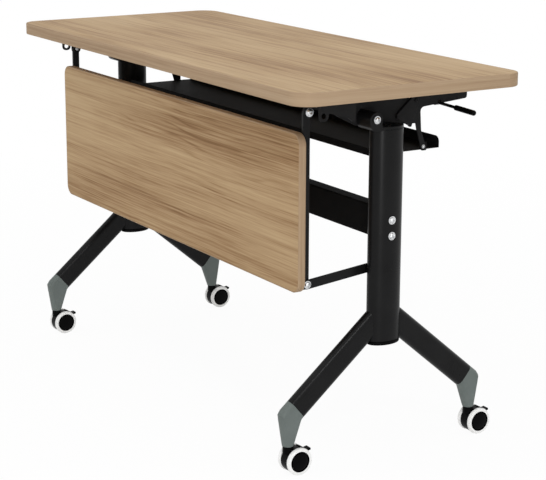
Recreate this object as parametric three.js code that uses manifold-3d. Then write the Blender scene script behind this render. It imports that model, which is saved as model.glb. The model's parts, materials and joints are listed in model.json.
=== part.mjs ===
// Flip top training table: a melamine top that tips up on two oval columns, with a hanging modesty panel,
// a book tray, a release lever and four braked twin wheel casters. Millimetres, +Z up.
// The origin is on the floor below the middle of the top; -Y is the front, where the modesty panel hangs.
import * as THREE from "three";
import { mergeVertices } from "three/addons/utils/BufferGeometryUtils.js";
import Module from "manifold-3d";

// Top
const TOP_LENGTH = 1200;
const TOP_DEPTH = 500;
const TOP_THICKNESS = 25;
const TABLE_HEIGHT = 730;
const TOP_CORNER_RADIUS = 40;
const TOP_EDGE_RADIUS = 2.5;

// Columns, crossbeam and their fittings
const COLUMN_INSET = 84;
const COLUMN_Y = -8;
const COLUMN_DEPTH = 70;
const COLUMN_WIDTH = 46;
const COLUMN_WALL = 2.5;
const COLUMN_BOTTOM = 232;
const HEAD_RIM = 6;
const PLUG_DEPTH = 18;
const CAP_HEIGHT = 8;
const CAP_BEVEL = 2;
const BEAM_HEIGHT = 60;
const BEAM_DEPTH = 30;
const BEAM_WALL = 2;
const BEAM_Z = 458;
const TUBE_CORNER_RADIUS = 3;

// Legs of flat oval tube, and feet
const LEG_ROOT_Z = 289;
const LEG_TIP_REACH = 194.5;
const LEG_TIP_Z = 125;
const LEG_WIDTH = 24;
const LEG_HEIGHT = 46.5;
const LEG_WALL = 2;
const FOOT_HEEL_OUT = 23;
const FOOT_HEEL_RADIUS = 6;
const FOOT_TURN = 5;
const FOOT_SOCKET_DIAMETER = 22;

// Casters
const STEM_REACH = 211;
const STEM_DIAMETER = 9;
const STEM_LENGTH = 26;
const CASTER_HEIGHT = 56;
const CASTER_TRAIL = 16;
const COLLAR_HEIGHT = 4;
const COLLAR_DIAMETER = 20;
const WHEEL_DIAMETER = 53;
const WHEEL_WIDTH = 11;
const WHEEL_BORE = 6.6;
const AXLE_DIAMETER = 6;
const TREAD_INNER_DIAMETER = 40;
const TREAD_SHOULDER = 3;
const HUB_DOME = 2.4;
const HOOD_WEB = 19.5;
const HOOD_RADIUS = 25;
const HOOD_FROM_DEGREES = -12;
const HOOD_TO_DEGREES = 235;
const PEDAL_STRAP = 1.6;
const PEDAL_REACH = 30.5;
const PEDAL_WIDTH = 15;
const PEDAL_THICKNESS = 4.5;
const PEDAL_HEIGHT = 15;
const PEDAL_RISE = 2;

// Flip brackets. Heights under the top are drops below its underside.
const SHEET = 3;
const FLIP_PIVOT_Y = -47;
const FLIP_PIVOT_DROP = 47;
const FLIP_PIN_DIAMETER = 12;
const PIVOT_OVER_COLUMN = 22;
const LUG_RADIUS = 13.5;
const LUG_FILLET = 5;
const PANEL_PIVOT_Y = -163.5;
const PANEL_PIVOT_DROP = 29.5;
const PANEL_PIN_DIAMETER = 8;
const EAR_RADIUS = 10;
const EAR_HOLE_DIAMETER = 11;
const NECK_DROP = 25;
const NECK_BACK = -112;
const NECK_BACK_DROP = 37;
const OUTER_CHEEK_BACK = -95;
const OUTER_CHEEK_DROP = 49;
const BELLY_FRONT_DROP = 64;
const BELLY_BACK_DROP = 71.5;
const ARM_ROOT_DROP = 42;
const ARM_TIP_DROP = 33;
const ARM_BACK = 195;
const STRAP_Y = 76;
const STRAP_WIDTH = 9.5;
const STRAP_BEND_RISE = 38;
const STRAP_FOOT_Y = 91;
const STRAP_FOOT_WIDTH = 12;

// Book tray
const TRAY_DROP = 124;
const TRAY_FRONT = -28;
const TRAY_BACK = 134;
const TRAY_SHEET = 1.5;
const TRAY_FRONT_LIP = 14;
const TRAY_BACK_LIP = 22;

// Release lever, latch shaft and cross tube
const CROSS_TUBE_DIAMETER = 12;
const CROSS_TUBE_Y = -80;
const CROSS_TUBE_DROP = 37;
const LATCH_SHAFT_DIAMETER = 8;
const LATCH_Y = 71;
const LATCH_DROP = 26;
const PAWL_THICKNESS = 6;
const PAWL_NOSE_HEIGHT = 8;
const PAWL_NOSE_DROP = 50;
const PAWL_HEEL_Y = 58;
const PAWL_HEEL_DROP = 76;
const LEVER_Y = 130;
const LEVER_DROP = 37;
const LEVER_ROD_DIAMETER = 6;
const LEVER_ROD_REACH = 58;
const LEVER_DROOP = 4.5;
const LEVER_LIFT_ROOM = 2.5;
const LEVER_BOSS_DIAMETER = 11;
const GRIP_LENGTH = 58;
const GRIP_DIAMETER = 10.5;
const GRIP_NOSE = 3;

// Modesty panel, its hangers and links
const PANEL_SIDE_GAP = 2.5;
const PANEL_THICKNESS = 15;
const PANEL_DROP = 67;
const PANEL_HEIGHT = 299;
const PANEL_CORNER_RADIUS = 22;
const PANEL_EDGE_RADIUS = 1.5;
const HANGER_WIDTH = 15;
const HANGER_THICKNESS = 5;
const HANGER_FLANGE = 22;
const HANGER_BACK_OFFSET = 5;
const HANGER_EYE_RADIUS = 9.5;
const LINK_FOOT_RISE = 14;
const LINK_ROOT_Y = -8;
const LINK_ROOT_RISE = 16;
const LINK_HEIGHT = 18;
const LINK_PIN_DIAMETER = 8;
const PIN_PROUD = 2;

// Fits
const SEAT = 0.3;
const RUNNING = 0.5;
const PIN_FIT = 0.3;
const OVERSHOOT = 1;

const FINE = 20;
const COARSE = 12;

const wasm = await Module();
wasm.setup();

const finishes = {
  wood: { color: 0xb98f62, roughness: 0.55, metalness: 0 },
  black: { color: 0x1b1b1c, roughness: 0.5, metalness: 0.3 },
  grey: { color: 0x6b7370, roughness: 0.55, metalness: 0.2 },
  zinc: { color: 0xc9cbcc, roughness: 0.3, metalness: 1 },
  plastic: { color: 0x121213, roughness: 0.45, metalness: 0 },
  white: { color: 0xf2f2f0, roughness: 0.5, metalness: 0 },
};

const table = new THREE.Group();

// A closed geometry as a solid that can be joined and cut.
function solid(geometry) {
  const bare = geometry.clone();
  bare.deleteAttribute("normal");
  bare.deleteAttribute("uv");
  const merged = mergeVertices(bare, 1e-4);
  return new wasm.Manifold(
    new wasm.Mesh({
      numProp: 3,
      vertProperties: new Float32Array(merged.attributes.position.array),
      triVerts: new Uint32Array(merged.index.array),
    }),
  );
}

function geometryOf(body) {
  const { vertProperties, triVerts } = body.getMesh();
  const geometry = new THREE.BufferGeometry();
  geometry.setAttribute("position", new THREE.BufferAttribute(vertProperties, 3));
  geometry.setIndex(new THREE.BufferAttribute(triVerts, 1));
  geometry.computeVertexNormals();
  return geometry;
}

function join(...geometries) {
  return geometries.map(solid).reduce((sum, next) => sum.add(next));
}

function cut(body, ...geometries) {
  return geometries.map(solid).reduce((rest, tool) => rest.subtract(tool), body);
}

// Adds one named piece to a group, from a geometry or a solid.
function piece(group, name, shape, finish) {
  const geometry = shape.isBufferGeometry ? shape : geometryOf(shape);
  const mesh = new THREE.Mesh(geometry, new THREE.MeshStandardMaterial(finishes[finish]));
  mesh.name = name;
  group.add(mesh);
  return mesh;
}

const extrusion = { bevelEnabled: false, curveSegments: 6, steps: 1 };
const ovalFacets = { curveSegments: 14 };
const alongX = new THREE.Matrix4().makeBasis(
  new THREE.Vector3(0, 1, 0),
  new THREE.Vector3(0, 0, 1),
  new THREE.Vector3(1, 0, 0),
);
const alongY = new THREE.Matrix4().makeBasis(
  new THREE.Vector3(1, 0, 0),
  new THREE.Vector3(0, 0, 1),
  new THREE.Vector3(0, -1, 0),
);

// Outlines drawn in Y and Z, swept from x0 to x1.
function sweepX(shape, x0, x1, options = {}) {
  const geometry = new THREE.ExtrudeGeometry(shape, { ...extrusion, ...options, depth: x1 - x0 });
  return geometry.applyMatrix4(alongX).translate(x0, 0, 0);
}

// Outlines drawn in X and Z, swept from y0 to y1.
function sweepY(shape, y0, y1, options = {}) {
  const geometry = new THREE.ExtrudeGeometry(shape, { ...extrusion, ...options, depth: y1 - y0 });
  return geometry.applyMatrix4(alongY).translate(0, y1, 0);
}

// Outlines drawn in X and Y, swept from z0 to z1.
function sweepZ(shape, z0, z1, options = {}) {
  const geometry = new THREE.ExtrudeGeometry(shape, { ...extrusion, ...options, depth: z1 - z0 });
  return geometry.translate(0, 0, z0);
}

function box(x0, x1, y0, y1, z0, z1) {
  const geometry = new THREE.BoxGeometry(x1 - x0, y1 - y0, z1 - z0);
  return geometry.translate((x0 + x1) / 2, (y0 + y1) / 2, (z0 + z1) / 2);
}

function barX(diameter, x0, x1, y, z, sides = COARSE) {
  const geometry = new THREE.CylinderGeometry(diameter / 2, diameter / 2, x1 - x0, sides);
  return geometry.rotateZ(-Math.PI / 2).translate((x0 + x1) / 2, y, z);
}

function barY(diameter, y0, y1, x, z, sides = COARSE) {
  const geometry = new THREE.CylinderGeometry(diameter / 2, diameter / 2, y1 - y0, sides);
  return geometry.translate(x, (y0 + y1) / 2, z);
}

function barZ(diameter, z0, z1, x, y, sides = COARSE) {
  const geometry = new THREE.CylinderGeometry(diameter / 2, diameter / 2, z1 - z0, sides);
  return geometry.rotateX(Math.PI / 2).translate(x, y, (z0 + z1) / 2);
}

// A rectangle with round corners, from its lowest to its highest corner.
function roundedRectangle(u0, v0, u1, v1, radius, Outline = THREE.Shape) {
  const outline = new Outline();
  outline.moveTo(u0 + radius, v0);
  outline.lineTo(u1 - radius, v0);
  outline.absarc(u1 - radius, v0 + radius, radius, -Math.PI / 2, 0);
  outline.lineTo(u1, v1 - radius);
  outline.absarc(u1 - radius, v1 - radius, radius, 0, Math.PI / 2);
  outline.lineTo(u0 + radius, v1);
  outline.absarc(u0 + radius, v1 - radius, radius, Math.PI / 2, Math.PI);
  outline.lineTo(u0, v0 + radius);
  outline.absarc(u0 + radius, v0 + radius, radius, Math.PI, 1.5 * Math.PI);
  return outline;
}

// A straight sided outline through corners, each given as [u, v] or [u, v, corner radius].
function rounded(corners) {
  const outline = new THREE.Shape();
  const count = corners.length;
  corners.forEach(([u, v, radius = 0], i) => {
    const corner = new THREE.Vector2(u, v);
    if (!radius) {
      if (i) outline.lineTo(u, v);
      else outline.moveTo(u, v);
      return;
    }
    const [from, to] = [corners[(i + count - 1) % count], corners[(i + 1) % count]].map(([a, b]) =>
      new THREE.Vector2(a, b).sub(corner).normalize(),
    );
    const half = Math.acos(THREE.MathUtils.clamp(from.dot(to), -1, 1)) / 2;
    const setback = radius / Math.tan(half);
    const start = corner.clone().addScaledVector(from, setback);
    const end = corner.clone().addScaledVector(to, setback);
    if (i) outline.lineTo(start.x, start.y);
    else outline.moveTo(start.x, start.y);
    outline.quadraticCurveTo(u, v, end.x, end.y);
  });
  outline.closePath();
  return outline;
}

function oval(width, depth, x = columnX, y = COLUMN_Y, Outline = THREE.Shape) {
  const outline = new Outline();
  outline.absellipse(x, y, width / 2, depth / 2, 0, 2 * Math.PI, false, 0);
  return outline;
}

function circleHole(u, v, diameter) {
  const hole = new THREE.Path();
  hole.absarc(u, v, diameter / 2, 0, 2 * Math.PI, true);
  return hole;
}

// A flat board with slightly rounded edges, drawn by its corners and swept by one of the sweeps above.
function board(sweep, corners, from, to, cornerRadius, edgeRadius) {
  const options = {
    bevelEnabled: true,
    bevelSize: edgeRadius,
    bevelThickness: edgeRadius,
    bevelOffset: -edgeRadius,
    bevelSegments: 2,
    curveSegments: 4,
  };
  return sweep(roundedRectangle(...corners, cornerRadius), from + edgeRadius, to - edgeRadius, options);
}

const underside = TABLE_HEIGHT - TOP_THICKNESS;
const columnX = TOP_LENGTH / 2 - COLUMN_INSET;
const columnInner = columnX - COLUMN_WIDTH / 2;
const columnOuter = columnX + COLUMN_WIDTH / 2;
const columnBack = COLUMN_Y + COLUMN_DEPTH / 2;
const flipPivotZ = underside - FLIP_PIVOT_DROP;
const columnTop = flipPivotZ - PIVOT_OVER_COLUMN;
const panelPivotZ = underside - PANEL_PIVOT_DROP;
const panelTop = underside - PANEL_DROP;
const panelBottom = panelTop - PANEL_HEIGHT;
const linkPivotZ = panelBottom + LINK_FOOT_RISE;
const linkRootZ = linkPivotZ + LINK_ROOT_RISE;
const trayBottom = underside - TRAY_DROP;
const latchZ = underside - LATCH_DROP;
const leverZ = underside - LEVER_DROP;
const crossTubeZ = underside - CROSS_TUBE_DROP;
const innerCheek = { x1: columnInner - RUNNING, x0: columnInner - RUNNING - SHEET };
const outerCheek = { x0: columnOuter + RUNNING, x1: columnOuter + RUNNING + SHEET };
const panelBack = PANEL_PIVOT_Y - HANGER_WIDTH + HANGER_BACK_OFFSET;
const hangerX1 = innerCheek.x0 - SEAT;
const hangerX0 = hangerX1 - HANGER_THICKNESS;

// Pieces that exist once on each side are drawn on the right (+X) and mirrored to the left.
const sides = ["right", "left"].map((name) => {
  const group = new THREE.Group();
  group.scale.x = name === "right" ? 1 : -1;
  table.add(group);
  return { name, group };
});

function bothSides(name, shape, finish) {
  sides.forEach((side) => piece(side.group, `${name}_${side.name}`, shape, finish));
}

function tabletop() {
  const [x, y] = [TOP_LENGTH / 2, TOP_DEPTH / 2];
  const top = board(sweepZ, [-x, -y, x, y], underside, TABLE_HEIGHT, TOP_CORNER_RADIUS, TOP_EDGE_RADIUS);
  piece(table, "tabletop", top, "wood");
}

function column() {
  const outline = oval(COLUMN_WIDTH, COLUMN_DEPTH);
  outline.holes.push(
    oval(COLUMN_WIDTH - 2 * COLUMN_WALL, COLUMN_DEPTH - 2 * COLUMN_WALL, columnX, COLUMN_Y, THREE.Path),
  );
  bothSides("column", sweepZ(outline, COLUMN_BOTTOM, columnTop, ovalFacets), "black");
}

// A plug that fits the column's bore.
function columnPlug(z0, z1) {
  const bore = 2 * COLUMN_WALL + 2 * SEAT;
  return sweepZ(oval(COLUMN_WIDTH - bore, COLUMN_DEPTH - bore), z0, z1, ovalFacets);
}

// The head plugs into the column and carries the lug that the top turns on.
function columnHead() {
  const base = columnTop + SEAT;
  const rimTop = columnTop + HEAD_RIM;
  const rim = sweepZ(oval(COLUMN_WIDTH, COLUMN_DEPTH), base, rimTop, ovalFacets);
  const [front, back] = [FLIP_PIVOT_Y - LUG_RADIUS, FLIP_PIVOT_Y + LUG_RADIUS];
  const lug = new THREE.Shape();
  lug.moveTo(FLIP_PIVOT_Y, base);
  lug.lineTo(back + LUG_FILLET, base);
  lug.lineTo(back + LUG_FILLET, rimTop);
  lug.quadraticCurveTo(back, rimTop, back, rimTop + LUG_FILLET);
  lug.lineTo(back, flipPivotZ);
  lug.absarc(FLIP_PIVOT_Y, flipPivotZ, LUG_RADIUS, 0, Math.PI);
  lug.quadraticCurveTo(front, base, FLIP_PIVOT_Y, base);
  const ear = sweepX(lug, columnInner, columnOuter);
  const pinHole = barX(
    FLIP_PIN_DIAMETER + 2 * PIN_FIT,
    columnInner - OVERSHOOT,
    columnOuter + OVERSHOOT,
    FLIP_PIVOT_Y,
    flipPivotZ,
  );
  const plug = columnPlug(columnTop - PLUG_DEPTH, columnTop + HEAD_RIM / 2);
  bothSides("column_head", cut(join(rim, plug, ear), pinHole), "black");
}

// The bottom end cap has a thin rim under the tube and a rounded lower edge.
function columnEndCap() {
  const rimTop = COLUMN_BOTTOM - SEAT - CAP_BEVEL;
  const rim = sweepZ(oval(COLUMN_WIDTH, COLUMN_DEPTH), COLUMN_BOTTOM - CAP_HEIGHT + CAP_BEVEL, rimTop, {
    bevelEnabled: true,
    bevelSize: CAP_BEVEL,
    bevelThickness: CAP_BEVEL,
    bevelOffset: -CAP_BEVEL,
    bevelSegments: 2,
    ...ovalFacets,
  });
  const plug = columnPlug(COLUMN_BOTTOM - CAP_HEIGHT / 2, COLUMN_BOTTOM + PLUG_DEPTH / 2);
  bothSides("column_end_cap", join(rim, plug), "plastic");
}

function crossbeam() {
  const [y0, y1] = [COLUMN_Y - BEAM_DEPTH / 2, COLUMN_Y + BEAM_DEPTH / 2];
  const [z0, z1] = [BEAM_Z - BEAM_HEIGHT / 2, BEAM_Z + BEAM_HEIGHT / 2];
  const outline = roundedRectangle(y0, z0, y1, z1, TUBE_CORNER_RADIUS);
  const bore = [y0 + BEAM_WALL, z0 + BEAM_WALL, y1 - BEAM_WALL, z1 - BEAM_WALL];
  outline.holes.push(roundedRectangle(...bore, TUBE_CORNER_RADIUS - BEAM_WALL, THREE.Path));
  const tube = solid(sweepX(outline, -columnX, columnX, { curveSegments: 2 }));
  const columnHole = [COLUMN_WIDTH + 2 * SEAT, COLUMN_DEPTH + 2 * SEAT];
  const columns = [columnX, -columnX].map((x) =>
    sweepZ(oval(...columnHole, x), z0 - OVERSHOOT, z1 + OVERSHOOT, ovalFacets),
  );
  piece(table, "crossbeam", cut(tube, ...columns), "black");
}

// A leg is a flat oval tube that leaves the column at a slant and ends square at its foot.
const legLean = Math.atan2(LEG_ROOT_Z - LEG_TIP_Z, LEG_TIP_REACH);
const legLength = Math.hypot(LEG_ROOT_Z - LEG_TIP_Z, LEG_TIP_REACH);

function flatOval(length, width, Outline = THREE.Shape) {
  const straight = (length - width) / 2;
  const outline = new Outline();
  outline.absarc(straight, 0, width / 2, -Math.PI / 2, Math.PI / 2);
  outline.absarc(-straight, 0, width / 2, Math.PI / 2, 1.5 * Math.PI);
  outline.closePath();
  return outline;
}

function leg() {
  const outline = flatOval(LEG_HEIGHT, LEG_WIDTH);
  outline.holes.push(flatOval(LEG_HEIGHT - 2 * LEG_WALL, LEG_WIDTH - 2 * LEG_WALL, THREE.Path));
  const slant = new THREE.Matrix4().makeBasis(
    new THREE.Vector3(0, -Math.sin(legLean), Math.cos(legLean)),
    new THREE.Vector3(-1, 0, 0),
    new THREE.Vector3(0, -Math.cos(legLean), -Math.sin(legLean)),
  );
  const options = { ...extrusion, curveSegments: 7, depth: legLength - SEAT };
  const tube = new THREE.ExtrudeGeometry(outline, options);
  tube.applyMatrix4(slant).translate(columnX, COLUMN_Y, LEG_ROOT_Z);
  const columnSpace = sweepZ(
    oval(COLUMN_WIDTH + 2 * SEAT, COLUMN_DEPTH + 2 * SEAT),
    COLUMN_BOTTOM - CAP_HEIGHT - SEAT,
    columnTop,
    ovalFacets,
  );
  const behind = box(columnInner, columnOuter, COLUMN_Y, columnBack + LEG_HEIGHT, COLUMN_BOTTOM, columnTop);
  return cut(solid(tube), columnSpace, behind);
}

// A closed skin over flat oval rings. Each ring is spanned by two points [y, z] and is at most width wide.
function loft(stations, x, width, facets) {
  const positions = [];
  stations.forEach(([above, below]) => {
    const half = above.clone().sub(below).multiplyScalar(0.5);
    const middle = above.clone().add(below).multiplyScalar(0.5);
    const radius = Math.min(width / 2, half.length());
    const straight = half.length() - radius;
    half.normalize();
    for (let k = 0; k < 2 * facets; k++) {
      const turn = ((k + 0.5) / facets - 0.5) * Math.PI;
      const along = radius * Math.cos(turn) + (k < facets ? straight : -straight);
      const place = middle.clone().addScaledVector(half, along);
      positions.push(x + radius * Math.sin(turn), place.x, place.y);
    }
  });
  const ring = 2 * facets;
  const index = [];
  for (let i = 0; i + 1 < stations.length; i++) {
    for (let k = 0; k < ring; k++) {
      const [a, b] = [i * ring + k, i * ring + ((k + 1) % ring)];
      index.push(a, b + ring, b, a, a + ring, b + ring);
    }
  }
  const last = (stations.length - 1) * ring;
  for (let k = 1; k + 1 < ring; k++) {
    index.push(0, k, k + 1);
    index.push(last, last + k + 1, last + k);
  }
  const geometry = new THREE.BufferGeometry();
  geometry.setAttribute("position", new THREE.Float32BufferAttribute(positions, 3));
  geometry.setIndex(index);
  return geometry;
}

// A foot carries on from the leg's square end, turns down over a round heel and narrows to a socket.
function foot() {
  const tip = new THREE.Vector2(COLUMN_Y - LEG_TIP_REACH, LEG_TIP_Z);
  const across = new THREE.Vector2(-Math.sin(legLean), Math.cos(legLean)).multiplyScalar(LEG_HEIGHT / 2);
  const stemY = COLUMN_Y - STEM_REACH;
  const socket = FOOT_SOCKET_DIAMETER / 2;
  const base = CASTER_HEIGHT + SEAT;
  const [above, below] = [tip.clone().add(across), tip.clone().sub(across)];
  const heel = new THREE.Vector2(above.x - FOOT_HEEL_OUT, above.y - FOOT_HEEL_OUT * Math.tan(legLean));
  const outside = new THREE.Path();
  outside.moveTo(above.x, above.y);
  const turnIn = heel.clone().sub(above).setLength(FOOT_HEEL_RADIUS);
  const turnOut = new THREE.Vector2(stemY - socket, base).sub(heel).setLength(FOOT_HEEL_RADIUS);
  outside.lineTo(heel.x - turnIn.x, heel.y - turnIn.y);
  outside.quadraticCurveTo(heel.x, heel.y, heel.x + turnOut.x, heel.y + turnOut.y);
  outside.lineTo(stemY - socket, base);
  const inside = new THREE.Path();
  inside.moveTo(below.x, below.y);
  inside.lineTo(below.x - FOOT_TURN * Math.cos(legLean), below.y - FOOT_TURN * Math.sin(legLean));
  inside.lineTo(stemY + socket, base);
  const [steps, facets] = [9, 7];
  const inner = inside.getSpacedPoints(steps);
  const stations = outside.getSpacedPoints(steps).map((point, i) => [point, inner[i]]);
  const body = solid(loft(stations, columnX, LEG_WIDTH, facets));
  const bore = barZ(
    STEM_DIAMETER + 2 * PIN_FIT,
    CASTER_HEIGHT - OVERSHOOT,
    CASTER_HEIGHT + STEM_LENGTH + PIN_FIT,
    columnX,
    stemY,
  );
  return cut(body, bore);
}

// Front pieces are drawn on the right; the back ones are mirrored about the column.
function legsAndFeet() {
  const shapes = { leg: [leg(), "black"], foot: [foot(), "grey"] };
  sides.forEach((side) => {
    ["front", "back"].forEach((end) => {
      const group = new THREE.Group();
      if (end === "back") {
        group.scale.y = -1;
        group.position.y = 2 * COLUMN_Y;
      }
      side.group.add(group);
      Object.entries(shapes).forEach(([name, [shape, finish]]) =>
        piece(group, `${name}_${end}_${side.name}`, shape, finish),
      );
    });
  });
}

// Both cheeks start with a round ear for the panel's pivot and a slim neck behind it.
function earAndNeck() {
  return [
    [PANEL_PIVOT_Y - EAR_RADIUS, underside - SEAT],
    [PANEL_PIVOT_Y - EAR_RADIUS, panelPivotZ - EAR_RADIUS, EAR_RADIUS],
    [PANEL_PIVOT_Y + EAR_RADIUS, panelPivotZ - EAR_RADIUS, EAR_RADIUS],
    [PANEL_PIVOT_Y + EAR_RADIUS, underside - NECK_DROP, SHEET],
    [NECK_BACK, underside - NECK_BACK_DROP, EAR_RADIUS],
  ];
}

// The inner cheek runs the whole depth of the bracket: ear, belly beside the column, tray strap and back arm.
function innerCheekOutline() {
  const bend = trayBottom + STRAP_BEND_RISE;
  const strapFoot = trayBottom - TRAY_SHEET;
  return rounded([
    ...earAndNeck(),
    [FLIP_PIVOT_Y - LUG_RADIUS, underside - BELLY_FRONT_DROP, LUG_RADIUS],
    [STRAP_Y, underside - BELLY_BACK_DROP],
    [STRAP_Y + SHEET, bend, LUG_RADIUS],
    [STRAP_FOOT_Y, strapFoot, SHEET],
    [STRAP_FOOT_Y + STRAP_FOOT_WIDTH, strapFoot, SHEET],
    [STRAP_Y + SHEET + STRAP_WIDTH, bend, LUG_RADIUS],
    [STRAP_Y + STRAP_WIDTH, underside - ARM_ROOT_DROP, EAR_RADIUS],
    [ARM_BACK, underside - ARM_TIP_DROP, 2 * SHEET],
    [ARM_BACK, underside - SEAT],
  ]);
}

function flipBracket() {
  const inner = innerCheekOutline();
  inner.holes.push(
    circleHole(FLIP_PIVOT_Y, flipPivotZ, FLIP_PIN_DIAMETER + 2 * PIN_FIT),
    circleHole(PANEL_PIVOT_Y, panelPivotZ, PANEL_PIN_DIAMETER + 2 * PIN_FIT),
    circleHole(CROSS_TUBE_Y, crossTubeZ, CROSS_TUBE_DIAMETER + 2 * PIN_FIT),
    circleHole(LATCH_Y, latchZ, LATCH_SHAFT_DIAMETER + 2 * PIN_FIT),
  );
  const outer = rounded([
    ...earAndNeck(),
    [OUTER_CHEEK_BACK, underside - OUTER_CHEEK_DROP, 2 * SHEET],
    [OUTER_CHEEK_BACK, underside - SEAT],
  ]);
  outer.holes.push(circleHole(PANEL_PIVOT_Y, panelPivotZ, EAR_HOLE_DIAMETER));
  const web = rounded([
    [innerCheek.x0, PANEL_PIVOT_Y - EAR_RADIUS],
    [outerCheek.x1, PANEL_PIVOT_Y - EAR_RADIUS],
    [outerCheek.x1, columnBack, SHEET],
    [innerCheek.x1 + 2 * SHEET, ARM_BACK],
    [innerCheek.x0, ARM_BACK],
  ]);
  const bracket = join(
    sweepX(inner, innerCheek.x0, innerCheek.x1),
    sweepX(outer, outerCheek.x0, outerCheek.x1),
    sweepZ(web, underside - SEAT - SHEET, underside - SEAT),
  );
  const half = LEVER_ROD_DIAMETER / 2 + RUNNING;
  const notchTop = leverZ + half + LEVER_LIFT_ROOM;
  const notchBottom = leverZ - LEVER_BOSS_DIAMETER;
  const notch = roundedRectangle(LEVER_Y - half, notchBottom, LEVER_Y + half, notchTop, half - SEAT);
  const rodNotch = sweepX(notch, innerCheek.x0 - OVERSHOOT, innerCheek.x1 + OVERSHOOT);
  bothSides("flip_bracket", cut(bracket, rodNotch), "black");
}

function flipPin() {
  const [x0, x1] = [innerCheek.x0 - PIN_PROUD, columnOuter + PIN_PROUD];
  bothSides("flip_pin", barX(FLIP_PIN_DIAMETER, x0, x1, FLIP_PIVOT_Y, flipPivotZ), "zinc");
}

// The book tray is one folded sheet: floor, front lip, back lip and a small tab at each end for the strap.
function bookTray() {
  const x = innerCheek.x0 - SEAT;
  const [z0, z1] = [trayBottom, trayBottom + TRAY_FRONT_LIP];
  const floor = box(-x, x, TRAY_FRONT, TRAY_BACK, z0, z0 + TRAY_SHEET);
  const frontLip = box(-x, x, TRAY_FRONT, TRAY_FRONT + TRAY_SHEET, z0, z1);
  const backLip = box(-x, x, TRAY_BACK - TRAY_SHEET, TRAY_BACK, z0, z0 + TRAY_BACK_LIP);
  const [y0, y1] = [STRAP_FOOT_Y - SHEET, STRAP_FOOT_Y + STRAP_FOOT_WIDTH + SHEET];
  const tab = rounded([
    [y0, z0],
    [y1, z0],
    [y1, z1, SHEET],
    [y0, z1, SHEET],
  ]);
  const tabs = [-x, x - TRAY_SHEET].map((from) => sweepX(tab, from, from + TRAY_SHEET));
  piece(table, "book_tray", join(floor, frontLip, backLip, ...tabs), "black");
}

function crossTube() {
  const reach = innerCheek.x1 + 2 * SHEET;
  piece(table, "cross_tube", barX(CROSS_TUBE_DIAMETER, -reach, reach, CROSS_TUBE_Y, crossTubeZ), "black");
}

// One shaft turns both latch pawls. Each has a nose behind the column head and a heel under the bracket.
function latch() {
  const x0 = innerCheek.x1 + RUNNING;
  const x1 = x0 + PAWL_THICKNESS;
  const reach = x1 + PIN_PROUD;
  piece(table, "latch_shaft", barX(LATCH_SHAFT_DIAMETER, -reach, reach, LATCH_Y, latchZ), "black");
  const hub = LATCH_SHAFT_DIAMETER / 2 + 2 * SHEET;
  const noseY = columnBack + RUNNING;
  const noseZ = underside - PAWL_NOSE_DROP;
  const heelZ = underside - PAWL_HEEL_DROP;
  const outline = new THREE.Shape();
  outline.absarc(LATCH_Y, latchZ, hub, -Math.PI / 4, Math.PI * 0.75);
  outline.lineTo(noseY, noseZ);
  outline.lineTo(noseY, noseZ - PAWL_NOSE_HEIGHT);
  outline.lineTo(PAWL_HEEL_Y - SHEET, heelZ + SHEET);
  outline.lineTo(PAWL_HEEL_Y, heelZ);
  outline.lineTo(PAWL_HEEL_Y + SHEET, heelZ);
  outline.closePath();
  outline.holes.push(circleHole(LATCH_Y, latchZ, LATCH_SHAFT_DIAMETER + 2 * PIN_FIT));
  bothSides("latch_pawl", sweepX(outline, x0, x1), "black");
}

// The release lever pivots inside the right bracket, passes the notch in its back arm and ends in a slim grip
// near the top's edge.
const leverDroop = Math.atan2(LEVER_DROOP, LEVER_ROD_REACH + GRIP_LENGTH);

function releaseLever() {
  const group = new THREE.Group();
  group.position.set(innerCheek.x0 - SEAT - LEVER_BOSS_DIAMETER / 2, LEVER_Y, leverZ);
  group.rotation.y = leverDroop;
  table.add(group);
  const boss = barY(LEVER_BOSS_DIAMETER, -LEVER_BOSS_DIAMETER / 2, LEVER_BOSS_DIAMETER / 2, 0, 0);
  const rod = barX(LEVER_ROD_DIAMETER, 0, LEVER_ROD_REACH + GRIP_LENGTH / 2, 0, 0);
  piece(group, "lever_rod", join(boss, rod), "black");
  const [tip, bore] = [GRIP_DIAMETER / 2, LEVER_ROD_DIAMETER / 2 + PIN_FIT];
  const [start, end] = [LEVER_ROD_REACH, LEVER_ROD_REACH + GRIP_LENGTH];
  const boreEnd = LEVER_ROD_REACH + GRIP_LENGTH / 2 + PIN_FIT;
  const profile = new THREE.Path();
  profile.moveTo(bore, start);
  profile.lineTo(tip - GRIP_NOSE / 3, start);
  profile.lineTo(tip, start + GRIP_NOSE / 3);
  profile.lineTo(tip, end - GRIP_NOSE);
  profile.quadraticCurveTo(tip, end, 0, end);
  profile.lineTo(0, boreEnd);
  profile.lineTo(bore, boreEnd);
  profile.closePath();
  const grip = new THREE.LatheGeometry(profile.getPoints(3), COARSE).rotateZ(-Math.PI / 2);
  piece(group, "lever_grip", grip, "plastic");
}

function modestyPanel() {
  const half = columnX - LEG_WIDTH / 2 - PANEL_SIDE_GAP;
  const front = panelBack - PANEL_THICKNESS;
  const corners = [-half, panelBottom, half, panelTop];
  const panel = board(sweepY, corners, front, panelBack, PANEL_CORNER_RADIUS, PANEL_EDGE_RADIUS);
  piece(table, "modesty_panel", panel, "wood");
}

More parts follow.
